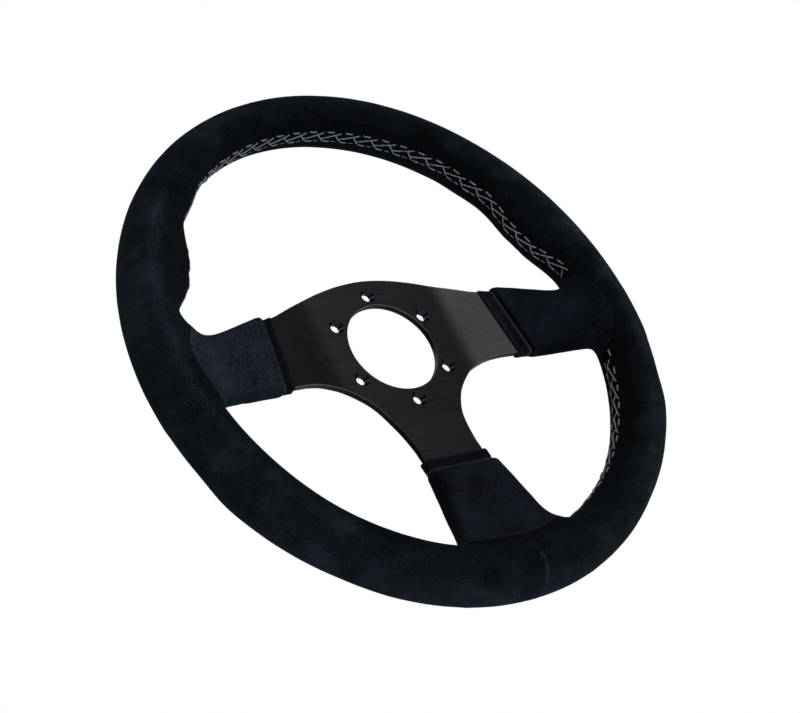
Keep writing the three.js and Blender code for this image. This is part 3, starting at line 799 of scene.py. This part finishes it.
def build_rim():
    D, T = rim_grid()
    raw = grip_point(D, T)
    skin, normal = settle(raw)
    covered = np.min([inside_seam(s, skin) for s in SPOKES], axis=0)
    across = np.abs(np.mod(T - seam_turn(D) + math.pi, 2 * math.pi) - math.pi) * HALF_DEEP
    window, phase = window_phase(D)
    from_butt = (D - BUTT_AT) * math.pi / 180 * RIM_R
    groove = GROOVE * window * bell(across, GROOVE_HALF)
    pucker = PUCKER * window * np.cos(2 * math.pi * phase) * bell(across - STITCH_HALF, PUCKER_HALF)
    plump = PLUMP * window * bell(across - PLUMP_AT, PLUMP_HALF)
    join = BUTT_GROOVE * bell(from_butt, BUTT_GROOVE_HALF)
    join += BUTT_LIP * bell(np.abs(from_butt) - BUTT_LIP_AT, BUTT_LIP_HALF)
    ripple = 0.16 * waves(skin, 34, 1) + 0.07 * waves(skin, 11, 2)
    ripple += 0.15 * bell(from_butt, 7) * waves(skin * np.array([1.0, 1.0, 0.45]), 6, 3)
    move = groove + pucker + plump + join + ripple * (1 - 0.6 * window * bell(across, 5))
    # under a sleeve the skin first steps down by its thickness, then sinks into the padding
    move = move - smooth(0.985, 0.9, covered)
    skin = skin + normal * move[..., None]
    sunk = raw - grip_normal(D, T) * SUNK
    points = sunk + (skin - sunk) * smooth(0.72, 0.9, covered)[..., None]
    # "edge": wear with a painted highlight by the seams; "crease": painted shade in the grooves; "turned":
    # painted light and shade
    tones = {
        "edge": 0.9 * bell(np.abs(from_butt) - 0.55, 0.4) + 0.25 * smooth(1.06, 1.0, covered),
        "painted_shade": 0.8 * bell(from_butt, 0.3) + window * bell(across, 0.5),
        "turned": rim_painted_light(D, T),
    }
    piece = add_mesh("rim_suede", points, grid_faces(*D.shape), SUEDE, ("rim_wrap", "rim_padding"), tones)


# ------------------------------------------------------------------ sleeves, trim strips and piping


def rounded_box(half_v, half_w, radius, count):
    """Even points round a box with round corners, from the middle of its +v side."""
    x, y = half_v - radius, half_w - radius
    corners = []
    for qx, qy, a0 in ((x, y, 0), (-x, y, 90), (-x, -y, 180), (x, -y, 270)):
        a = np.radians(a0 + np.linspace(0, 90, 25))
        corners.append(np.stack([qx + radius * np.cos(a), qy + radius * np.sin(a)], -1))
    loop = np.vstack([[(half_v, 0)], *corners, [(half_v, 0)]])
    long = np.r_[0, np.cumsum(np.linalg.norm(np.diff(loop, axis=0), axis=1))]
    at = np.arange(count) / count * long[-1]
    return np.interp(at, long, loop[:, 0]), np.interp(at, long, loop[:, 1])


def sleeve_ring(spoke, u):
    """Ring round the spoke at a nominal distance u, slanted like the trim strip near the hub."""
    vc, hv, wc, hw = spoke.section(u)
    box_v, box_w = rounded_box(hv, hw, SECTION_ROUND, AROUND)
    v, w = vc + box_v, wc + box_w
    at = u - v * spoke.slant_at(u)
    return spoke.place(at, v, w + rise(at) - rise(u))


def seam_ring(spoke):
    """The sleeve's end on the rim, with its points facing those of the last plain ring."""
    middle, half_v, half_w, power, at = spoke.seam
    _, v0, w0 = spoke.local(sleeve_ring(spoke, TURN_OUT_AT))
    vc, hv, wc, hw = spoke.section(TURN_OUT_AT)
    a = np.arctan2((w0 - wc) / hw, (v0 - vc) / hv)
    c = np.sign(np.cos(a)) * np.abs(np.cos(a)) ** (2 / power)
    s = np.sign(np.sin(a)) * np.abs(np.sin(a)) ** (2 / power)
    k = (np.abs(c) ** power + np.abs(s) ** power) ** (1 / power)
    v, w = middle + half_v * c / k, RIM_W + half_w * s / k
    if at is None:
        tau = np.arcsin(np.clip((w - RIM_W) / HALF_DEEP, -1, 1))
        r = RIM_R - (HALF_LOW - 0.8) * np.cos(tau)
    else:
        r = np.full_like(v, at)
    return spoke.place(np.sqrt(np.maximum(r * r - v * v, 1)), v, w)


def sleeve_lining(spoke):
    """Rings of the sleeve's inside, which lies along the plate, from the rim to the hub end."""
    rings = []
    for u in (130.0, 110.0, spoke.sleeve_from + 0.5, spoke.sleeve_from):
        hi, lo = spoke.hi(u) + 0.6, spoke.lo(u) - 0.6
        box_v, box_w = rounded_box((hi - lo) / 2, PLATE / 2 + 0.6, 0.8, AROUND)
        v, w = (hi + lo) / 2 + box_v, rise(u) + PLATE / 2 + box_w
        at = u - v * spoke.slant_at(u)
        rings.append(spoke.place(at, v, w + rise(at) - rise(u)))
    return np.array(rings)


def wrinkles(spoke, p, stations):
    """Shallow pulled folds where a sleeve turns into the rim, deepest low on the left one."""
    u, v, w = spoke.local(p)
    left = spoke.name == "left"
    zone = smooth(104, 122, stations)[:, None] * smooth(SEAM_STATION, 130, stations)[:, None]
    folds = np.abs(waves(np.stack([u * 0.35, v, w * 0.6], -1), 5.5, 9 if left else 12))
    low = smooth(2, -16, v) if left else 0.15
    return -0.5 * zone * (1 - np.clip(folds * 3.2, 0, 1)) * low


def build_sleeve(spoke):
    start, bottom = spoke.sleeve_from, spoke.name == "bottom"
    early = start + np.array([0, 0.12, 0.4, 0.8, 1.3, 1.9, 2.6, 3.4, 4.4, 6.0, 8.0])
    plain = np.r_[early, np.linspace(start + 10.5, TURN_OUT_AT, 22)]
    rings = np.array([sleeve_ring(spoke, u) for u in plain])
    out = np.linspace(0, 1, 17)[1:]
    turned_out = rings[-1] + (seam_ring(spoke) - rings[-1]) * out[:, None, None]
    stations = np.r_[plain, TURN_OUT_AT + (SEAM_STATION - TURN_OUT_AT) * out]
    points, normal = settle(np.concatenate([rings, turned_out]))
    flow = points[-1] - points[-2]
    flow /= np.linalg.norm(flow, axis=-1)[..., None]

    # the shoulder at the hub end rolls down to the piping
    reach = np.clip((stations - start) / SHOULDER, 0, 1)[:, None]
    roll = 1 - np.sqrt(np.clip(1 - (1 - reach) ** 2, 0, 1))
    facing, across = normal[..., 2], np.abs(spoke.local(normal)[1])
    deep = SHOULDER_FRONT * np.clip(facing, 0, 1) ** 2 + SHOULDER_BACK * np.clip(-facing, 0, 1) ** 2
    deep = deep + SHOULDER_SIDE * across**2
    bulge = 0.28 * waves(points, 26, 5) + 0.12 * waves(points, 9, 6)
    quiet = smooth(0, 4, stations - start)[:, None] * smooth(SEAM_STATION, 128, stations)[:, None]
    lay = PROUD * smooth(120, 134, stations)[:, None]
    move = bulge * quiet + lay - roll * deep + wrinkles(spoke, points, stations)
    points = points + normal * move[..., None]

    # the cut end turns under, and the lining closes the piece
    end, end_normal = points[-1], normal[-1]
    tail = [end + flow * on - end_normal * down for on, down in ((0.25, 0.12), (0.33, 0.34), (0.2, 1.5))]
    everything = np.concatenate([points, np.array(tail), sleeve_lining(spoke)])

    n = len(stations)
    # "edge" pales both ends of the sleeve and its tucked end: wear with a painted highlight
    edge = np.zeros(everything.shape[:2])
    edge[:n] = (0.35 if bottom else 0.12) * bell(stations - SEAM_STATION, 0.7)[:, None]
    edge[:n] += 0.35 * bell(stations - start - 1.2, 0.9)[:, None]
    edge[n] = 0.4 if bottom else 0.15
    # painted shade in the fold at the hub end, and over the tucked end and the lining
    painted_shade = np.zeros_like(edge)
    painted_shade[:n] = 0.4 * bell(stations - start, 0.25)[:, None]
    painted_shade[n + 1 :] = 0.9
    # painted light and shade: the sleeve's sides are painted darker, except near its rim end
    turned = np.full_like(edge, 0.55)
    turned[:n] -= 0.4 * across**2 * smooth(SEAM_STATION, 120, stations)[:, None]
    piece = add_mesh(
        f"sleeve_suede_{spoke.name}", everything, grid_faces(*edge.shape), SLEEVE_SUEDE[spoke.name],
        (f"sleeve_{spoke.name}",), {"edge": edge, "painted_shade": painted_shade, "turned": turned},
    )


def wrapped_loop(spoke, u, grow, corner, count):
    """Closed line round the plate in a slanted plane, grown out from its faces."""
    hi, lo = spoke.hi(u) + grow, spoke.lo(u) - grow
    box_v, box_w = rounded_box((hi - lo) / 2, PLATE / 2 + grow, corner, count)
    v, w = (hi + lo) / 2 + box_v, rise(u) + PLATE / 2 + box_w
    x = u - spoke.slant * v
    return spoke.place(x, v, w + rise(x) - rise(u))


# the folded strip in section: distance from its hub edge, height, its share of the waviness, how far it is
# paled there by wear with a painted highlight, and how far painted shade darkens it there
STRIP_PROFILE = np.array([
    (0.0, 0.12, 0, 0.1, 0.9),
    (0.0, 0.75, 0.4, 0.35, 0.5),
    (0.25, 1.25, 0.8, 0.8, 0),
    (0.8, 1.52, 1, 0.35, 0),
    (1.8, 1.58, 1, 0.05, 0),
    (3.2, 1.5, 1, 0, 0.15),
    (4.6, 1.52, 1, 0, 0.1),
    (5.7, 1.6, 1, 0.1, 0),
    (6.2, 1.4, 0.8, 0.25, 0),
    (BAND_LONG - 0.05, 1.0, 0.6, 0.1, 0.3),
    (BAND_LONG, 0.5, 0.3, 0, 0.8),
    (BAND_LONG, 0.12, 0, 0, 1),
    (3.3, 0.1, 0, 0, 1),
])
STRIP_AROUND, PIPING_AROUND = 220, 520
PIPING_R, PIPING_HIGH = 0.34, 1.5


def build_trim(spoke):
    """Folded strip: a thin roll of suede with puffed edges, all round the plate."""
    xs, heights, wavy, highlight_and_wear, painted_shade_share = STRIP_PROFILE.T
    rings = np.array([
        wrapped_loop(spoke, spoke.band_from + x, 0.05 + h, 0.3 + h, STRIP_AROUND) for x, h in zip(xs, heights)
    ])
    wobble = 0.11 * waves(rings, 9, 21) + 0.05 * waves(rings, 3.5, 22)
    out = rings - rings.mean(1, keepdims=True)
    out[..., 2] *= 6
    out /= np.linalg.norm(out, axis=-1)[..., None]
    rings = rings + out * (wobble * wavy[:, None])[..., None]
    level = np.ones(rings.shape[:2])
    # the strip's pale edge is wear with a painted highlight, its dark edges painted shade
    tones = {"edge": highlight_and_wear[:, None] * level, "painted_shade": painted_shade_share[:, None] * level, "turned": 0.5 * level}
    add_mesh(
        f"trim_strip_{spoke.name}", rings, grid_faces(*rings.shape[:2]), SUEDE_BAND,
        (f"trim_band_{spoke.name}",), tones,
    )


def build_piping(spoke):
    """The piping between strip and sleeve: a slim cord with a slight twist, on a flange down to the plate."""
    middle = spoke.band_from + BAND_LONG + GAP + PIPING / 2
    over = np.radians(np.arange(-30, 211, 24))
    profile = [(PIPING_R * math.cos(a), PIPING_HIGH + PIPING_R * math.sin(a)) for a in over]
    profile += [(-0.2, 0.1), (0.2, 0.1)]
    rings = np.array([wrapped_loop(spoke, middle + x, h, 0.3 + h, PIPING_AROUND) for x, h in profile])
    sides = len(profile)
    round_loop, round_cord = np.arange(PIPING_AROUND)[None], np.arange(sides)[:, None]
    twist = 0.06 * np.sin(round_loop * 2 * math.pi / 4 + round_cord * 4 * math.pi / sides)
    centre = rings.mean(0, keepdims=True)
    rings = centre + (rings - centre) * (1 + twist[..., None])
    add_mesh(
        f"piping_cord_{spoke.name}", rings, grid_faces(sides, PIPING_AROUND), CORD,
        (f"piping_{spoke.name}",),
    )


# ------------------------------------------------------------------ cross stitching
TUBE_SIDES, TUBE_TIP, STITCH_STEPS = 8, 0.35, 11


def tube(path, radius):
    """Closed round tube through the path's points, tapered shut at both ends."""
    along = np.gradient(path, axis=0)
    along /= np.linalg.norm(along, axis=1)[:, None]
    up = np.cross(along, np.array([0.13, 0.27, 0.95]))
    up /= np.linalg.norm(up, axis=1)[:, None]
    other = np.cross(along, up)
    a = np.arange(TUBE_SIDES) * 2 * math.pi / TUBE_SIDES
    n = len(path)
    size = radius * np.ones(n)
    size[0] = size[-1] = radius * TUBE_TIP
    round_path = np.cos(a)[None, :, None] * up[:, None] + np.sin(a)[None, :, None] * other[:, None]
    rings = path[:, None] + size[:, None, None] * round_path
    faces = grid_faces(n, TUBE_SIDES, closed_rows=False).tolist()
    faces.append(list(range(TUBE_SIDES))[::-1])
    faces.append([(n - 1) * TUBE_SIDES + i for i in range(TUBE_SIDES)])
    return rings.reshape(-1, 3), faces


def build_stitches(run):
    """Thread crossing the seam: five strands a turn of the pattern, each dipping into the suede at its ends."""
    path, turns, count = seam_path(run)

    def lay(s0, h0, s1, h1, high):
        t = np.linspace(0, 1, STITCH_STEPS)
        deg = np.interp(s0 + (s1 - s0) * t, turns, path)
        h = h0 + (h1 - h0) * t
        p, n = settle(grip_point(deg, seam_turn(deg) - h / HALF_DEEP), 4)
        above = high * np.sin(math.pi * t) ** 0.55 - 0.75 * (np.abs(2 * t - 1) ** 6)
        return p + n * (above + 0.12)[:, None]

    points, faces, start = [], [], 0
    rng = np.random.default_rng(len(run) * 7 + count)
    h = STITCH_HALF
    for i in range(-1, count + 1):
        j = rng.normal(0, 0.012, 12)
        # from and to: turns of the pattern clockwise, millimetres toward the driver; height, radius
        strands = [
            (-0.46 + j[0], 0.64 * h, 0.0 + j[1], -0.98 * h, 0.06, 0.40),
            (-0.24 + j[2], -0.5 * h, 0.97 + j[3], 0.97 * h, 0.26, 0.40),
            (0.0 + j[4], -h, 0.42 + j[5], -h - 0.08, 0.10, 0.44),
            (0.46 + j[6], -h + 0.1, 0.76 + j[7], -h + 0.1, -0.16, 0.34),
            (0.08 + j[8], h + 0.04, 0.50 + j[9], h, 0.10, 0.44),
        ]
        for q0, h0, q1, h1, high, radius in strands:
            s0, s1 = count - i - q0, count - i - q1
            if s0 > count or s1 < 0:
                continue
            p, f = tube(lay(s0, h0, s1, h1, high), radius)
            points.append(p)
            faces += [[start + k for k in face] for face in f]
            start += len(p)
    add_mesh(f"stitches_{run}", np.vstack(points), faces, THREAD, (f"stitching_{run}",))


# ------------------------------------------------------------------ camera, floor and light
FLOOR_HALF, FLOOR_Z = 60.0, -0.52


def build_floor():
    corners = [(x * FLOOR_HALF, y * FLOOR_HALF, FLOOR_Z) for x, y in ((-1, -1), (1, -1), (1, 1), (-1, 1))]
    mesh = bpy.data.meshes.new("floor")
    mesh.from_pydata(corners, [], [(0, 1, 2, 3)])
    floor = bpy.data.objects.new("floor", mesh)
    scene.collection.objects.link(floor)
    k = Look("pale_floor")
    k.link(k.ramp(k.noise(3, 3), (0.3, grey(0.80)), (0.7, grey(0.83))), k.shader.inputs["Base Color"])
    k.set(Roughness=0.9, Emission_Color=(0.86, 0.93, 1.0, 1), Emission_Strength=0.36)
    mesh.materials.append(k.material)


def soft_light(name, at, aim, size, power, tint):
    data = bpy.data.lights.new(name, "AREA")
    data.shape = "RECTANGLE"
    data.size, data.size_y = size
    data.energy = power
    data.color = tint
    lamp = bpy.data.objects.new(name, data)
    lamp.location = at
    lamp.rotation_mode = "QUATERNION"
    lamp.rotation_quaternion = (Vector(aim) - Vector(at)).to_track_quat("-Z", "Y")
    lamp.visible_camera = False
    scene.collection.objects.link(lamp)


def build_lights():
    soft_light("front_box", (0.55, -1.75, 0.85), (0, 0, 0), (0.75, 0.9), 9.0, (1.0, 0.99, 0.985))
    soft_light("high_right", (1.2, -1.0, 1.35), (0, 0, 0), (0.5, 0.5), 0.45, (0.97, 0.985, 1.0))
    soft_light("top_left", (-1.1, -0.7, 1.5), (0, 0, 0), (1.2, 1.0), 4.6, (0.93, 0.98, 1.0))
    soft_light("edge_right", (0.44, 0.0, 0.16), (0.16, 0, 0), (0.2, 0.5), 0.5, (0.88, 0.95, 1.0))
    soft_light("edge_top", (-0.1, 0.5, 0.6), (0, 0, 0.1), (0.8, 0.4), 0.6, (0.95, 0.98, 1.0))


def build_world():
    """A white backdrop that lights the wheel only softly."""
    world = bpy.data.worlds.new("studio")
    world.use_nodes = True
    tree = world.node_tree
    seen, light = tree.nodes["Background"], tree.nodes.new("ShaderNodeBackground")
    seen.inputs["Color"].default_value = (1, 1, 1, 1)
    seen.inputs["Strength"].default_value = 1.0
    light.inputs["Color"].default_value = (0.93, 0.96, 1.0, 1)
    light.inputs["Strength"].default_value = 0.1
    path, mix = tree.nodes.new("ShaderNodeLightPath"), tree.nodes.new("ShaderNodeMixShader")
    tree.links.new(path.outputs["Is Camera Ray"], mix.inputs[0])
    tree.links.new(light.outputs[0], mix.inputs[1])
    tree.links.new(seen.outputs[0], mix.inputs[2])
    tree.links.new(mix.outputs[0], tree.nodes["World Output"].inputs["Surface"])
    scene.world = world


LENS, SENSOR = 77.03, 36
CAMERA_AT = (-0.57273, -0.67787, -0.37879)
CAMERA_RIGHT, CAMERA_BACK = Vector((0.7925, -0.4448, -0.4172)), Vector((-0.5978, -0.7020, -0.3871))


def build_camera():
    data = bpy.data.cameras.new("camera")
    data.lens = LENS
    data.sensor_width = SENSOR
    data.sensor_fit = "HORIZONTAL"
    data.clip_start = 0.01
    camera = bpy.data.objects.new("camera", data)
    scene.collection.objects.link(camera)
    back = CAMERA_BACK.normalized()
    right = (CAMERA_RIGHT - CAMERA_RIGHT.dot(back) * back).normalized()
    facing = Matrix((right, back.cross(right), back)).transposed()
    camera.matrix_world = Matrix.Translation(CAMERA_AT) @ facing.to_4x4()
    scene.camera = camera


# ------------------------------------------------------------------ the whole scene
build_plate()
build_rim()
for each in SPOKES:
    build_sleeve(each)
    build_trim(each)
    build_piping(each)
for run_name in STITCH_RUNS:
    build_stitches(run_name)

# the hidden steel stays as it is in CAD
for name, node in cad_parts.items():
    if name.startswith("rivet") or name == "rim_hoop":
        node.data.materials.clear()
        node.data.materials.append(STEEL)

build_floor()
build_lights()
build_world()
build_camera()
scene.view_settings.view_transform = "Standard"
